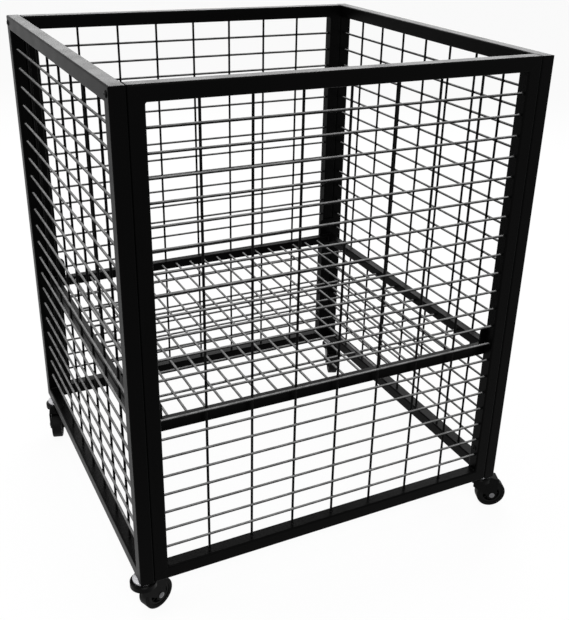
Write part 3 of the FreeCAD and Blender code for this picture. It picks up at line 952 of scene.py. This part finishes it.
class BIN_OT_finish_castors(bpy.types.Operator):
    """Finishes the castors and adds the ribs and rings of their wheels"""

    bl_idname = "bin.finish_castors"
    bl_label = "Finish the castors"

    def execute(self, context):
        sizes = context.scene.bin_finish
        steel = castor_black(sizes)
        zinc = zinc_plate("stem_zinc", sizes.zinc_colour, sizes.zinc_roughness)
        dull = zinc_plate("axle_zinc", sizes.axle_colour, sizes.zinc_roughness)
        gloss = sizes.moulded_gloss
        core_look = (sizes.core_colour, gloss, sizes.core_roughness, sizes.core_grain)
        tyre_look = (sizes.tyre_colour, gloss, sizes.tyre_roughness, sizes.tyre_grain)
        core = moulded_black("wheel_core_black", *core_look)
        tyre = moulded_black("tyre_rubber", *tyre_look)
        for corner in CORNERS:
            castor = f"{corner}_castor"
            wear(steel, f"{castor}_fork")
            wear(zinc, f"{castor}_stem")
            wear(dull, f"{castor}_axle")
            wear(core, f"{castor}_wheel_core")
            wear(tyre, f"{castor}_tyre")
            self.add_moulding(context, corner, core, tyre)
        return {"FINISHED"}

    def add_moulding(self, context, corner, core, tyre):
        """The ribs between a wheel's hub and rim, and the rings on its tyre's sides."""
        sizes = context.scene.bin_wheels
        low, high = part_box(f"{corner}_castor_wheel_core")
        middle = (low + high) / 2
        roll = next(joint for joint in frame["joints"] if joint["name"] == f"{corner}_roll")
        axle = Vector(roll["axis"])
        first = axle.cross(Z).normalized()
        sides = (axle, -axle)
        turns = [2 * math.pi * step / sizes.rib_count for step in range(sizes.rib_count)]
        ends = sizes.rib_inside, sizes.rib_outside
        rib = make_rib(*ends, sizes.rib_width, sizes.rib_foot, sizes.rib_top)
        places = [
            standing(middle, side, Matrix.Rotation(turn, 3, side) @ first)
            for side in sides
            for turn in turns
        ]
        body = f"{corner}_wheel"
        copies([(rib, places)], f"{corner}_wheel_ribs", core, body)
        ring = make_ring(sizes.ring_radius, sizes.ring_thickness, tyre_width(corner, axle) / 2)
        places = [standing(middle, side, first) for side in sides]
        copies([(ring, places)], f"{corner}_tyre_rings", tyre, body)


class BIN_OT_add_corner_welds(bpy.types.Operator):
    """Adds the weld beads in the inside corners of the panels and the shelf"""

    bl_idname = "bin.add_corner_welds"
    bl_label = "Weld the corners"

    def execute(self, context):
        sizes = context.scene.bin_welds
        metal = coated_weld(context.scene.bin_finish)
        for grid in GRIDS:
            length = grid.tube * sizes.bead_length
            bead = make_bead(length, sizes.bead_radius, round(length / sizes.ripple_length))
            corners = grid.corners(sizes.bead_sink)
            places = [standing(corner, grid.near, grid.run) for corner in corners]
            copies([(bead, places)], f"{grid.name}_corner_welds", metal, "frame")
        length = LUG_WIDTH * sizes.bead_length
        radius = sizes.bead_radius * sizes.lug_bead
        bead = make_bead(length, radius, round(length / sizes.ripple_length))
        places = [standing(foot, X, Z) for foot in lug_feet(sizes.bead_sink)]
        copies([(bead, places)], "lug_welds", metal, "frame")
        return {"FINISHED"}


class BIN_OT_add_wire_welds(bpy.types.Operator):
    """Adds the welds at the wires' ends and where they cross"""

    bl_idname = "bin.add_wire_welds"
    bl_label = "Weld the wires"

    def execute(self, context):
        sizes = context.scene.bin_welds
        metal = coated_weld(context.scene.bin_finish)
        for grid in GRIDS:
            collar = make_collar(sizes.collar_spread, sizes.collar_height)
            fillet = make_fillet(sizes.fillet_radius, sizes.fillet_depth)
            feet = [standing(place, way, near) for place, way, near in grid.wire_ends()]
            crossings = [standing(place, grid.near, grid.run) for place in grid.crossings()]
            welds = [(collar, feet), (fillet, crossings)]
            copies(welds, f"{grid.name}_wire_welds", metal, "frame")
        return {"FINISHED"}


class BIN_OT_set_stage(bpy.types.Operator):
    """Sets up the pale floor, the soft lamps and the camera"""

    bl_idname = "bin.set_stage"
    bl_label = "Set the stage"

    def execute(self, context):
        sizes = context.scene.bin_stage
        self.make_floor(sizes)
        self.light_room(context.scene, sizes)
        for name, (place, target, size) in SOFTBOXES.items():
            power = getattr(sizes, f"{name}_lamp")
            self.add_softbox(f"{name}_softbox", place, target, size, power)
        self.place_camera(context.scene, sizes)
        context.scene.view_settings.view_transform = "Standard"
        return {"FINISHED"}

    def make_floor(self, sizes):
        """A matt floor that is nearly lost in the white background, apart from its shadows."""
        start_piece()
        bpy.ops.mesh.primitive_plane_add(size=FLOOR_SIDE, location=(0, 0, 0))
        floor = bpy.context.object
        floor.name = "floor"
        material = bpy.data.materials.new("pale_floor")
        material.use_nodes = True
        tree = material.node_tree
        tree.nodes.clear()
        base = Term(tree)
        matt = base.node("ShaderNodeBsdfDiffuse", {}, {"Color": FLOOR_COLOUR})
        glow = base.node("ShaderNodeEmission", {}, {"Color": WHITE, "Strength": 1.0})
        share = background_rays(base) * sizes.floor_glow
        surface = base.node("ShaderNodeMixShader", {}, {"Fac": share, 1: matt, 2: glow})
        output = tree.nodes.new("ShaderNodeOutputMaterial")
        tree.links.new(surface.socket, output.inputs["Surface"])
        floor.data.materials.append(material)

    def light_room(self, scene, sizes):
        """White where the background is seen, and dimmer as light on the bin."""
        world = bpy.data.worlds.new("pale_room")
        world.use_nodes = True
        tree = world.node_tree
        tree.nodes.clear()
        base = Term(tree)
        seen = background_rays(base)
        strength = seen + (1 - seen) * sizes.room_light
        glow = base.node("ShaderNodeBackground", {}, {"Color": WHITE, "Strength": strength})
        output = tree.nodes.new("ShaderNodeOutputWorld")
        tree.links.new(glow.socket, output.inputs["Surface"])
        scene.world = world

    def add_softbox(self, name, place, target, size, power):
        """A lamp as a lit rectangle, which the camera doesn't see."""
        data = bpy.data.lights.new(name, "AREA")
        data.shape = "RECTANGLE"
        data.size, data.size_y = size
        data.energy = power
        lamp = bpy.data.objects.new(name, data)
        bpy.context.scene.collection.objects.link(lamp)
        lamp.location = place
        aim = Vector(target) - Vector(place)
        lamp.rotation_euler = aim.to_track_quat("-Z", "Y").to_euler()
        lamp.visible_camera = False

    def place_camera(self, scene, sizes):
        """A camera whose picture is level apart from its roll."""
        heading, tilt, roll = sizes.camera_heading, sizes.camera_tilt, sizes.camera_roll
        level_ahead = Vector((math.sin(heading), math.cos(heading), 0))
        ahead = level_ahead * math.cos(tilt) + Z * math.sin(tilt)
        level = ahead.cross(Z).normalized()
        upright = level.cross(ahead)
        right = level * math.cos(roll) + upright * math.sin(roll)
        data = bpy.data.cameras.new("camera")
        data.lens = sizes.camera_lens
        data.sensor_width = SENSOR_WIDTH
        data.shift_x, data.shift_y = sizes.camera_shift
        camera = bpy.data.objects.new("camera", data)
        scene.collection.objects.link(camera)
        camera.matrix_world = standing(sizes.camera_place, -ahead, right)
        scene.camera = camera


class BIN_PT_panel(bpy.types.Panel):
    """Lists the bin's steps and sizes"""

    bl_idname = "BIN_PT_panel"
    bl_label = "Dump bin"
    bl_space_type = "VIEW_3D"
    bl_region_type = "UI"
    bl_category = "Dump bin"

    def draw(self, context):
        for operator in STEPS:
            self.layout.operator(operator.bl_idname)
        for group in GROUPS:
            sizes = getattr(context.scene, group)
            box = self.layout.box()
            for name in sizes.__annotations__:
                box.prop(sizes, name)


GROUPS = {
    "bin_finish": FinishSizes,
    "bin_welds": WeldSizes,
    "bin_wheels": WheelSizes,
    "bin_stage": StageSizes,
}
STEPS = (
    BIN_OT_coat_tubes,
    BIN_OT_coat_wires,
    BIN_OT_finish_fixings,
    BIN_OT_finish_castors,
    BIN_OT_add_corner_welds,
    BIN_OT_add_wire_welds,
    BIN_OT_set_stage,
)
CLASSES = (*GROUPS.values(), *STEPS, BIN_PT_panel)


def register():
    for item in CLASSES:
        bpy.utils.register_class(item)
    for name, kind in GROUPS.items():
        setattr(bpy.types.Scene, name, bpy.props.PointerProperty(type=kind))


def unregister():
    for name in GROUPS:
        delattr(bpy.types.Scene, name)
    for item in reversed(CLASSES):
        bpy.utils.unregister_class(item)


def main():
    register()
    bpy.ops.bin.coat_tubes()
    bpy.ops.bin.coat_wires()
    bpy.ops.bin.finish_fixings()
    bpy.ops.bin.finish_castors()
    bpy.ops.bin.add_corner_welds()
    bpy.ops.bin.add_wire_welds()
    bpy.ops.bin.set_stage()


if __name__ == "__main__":
    main()
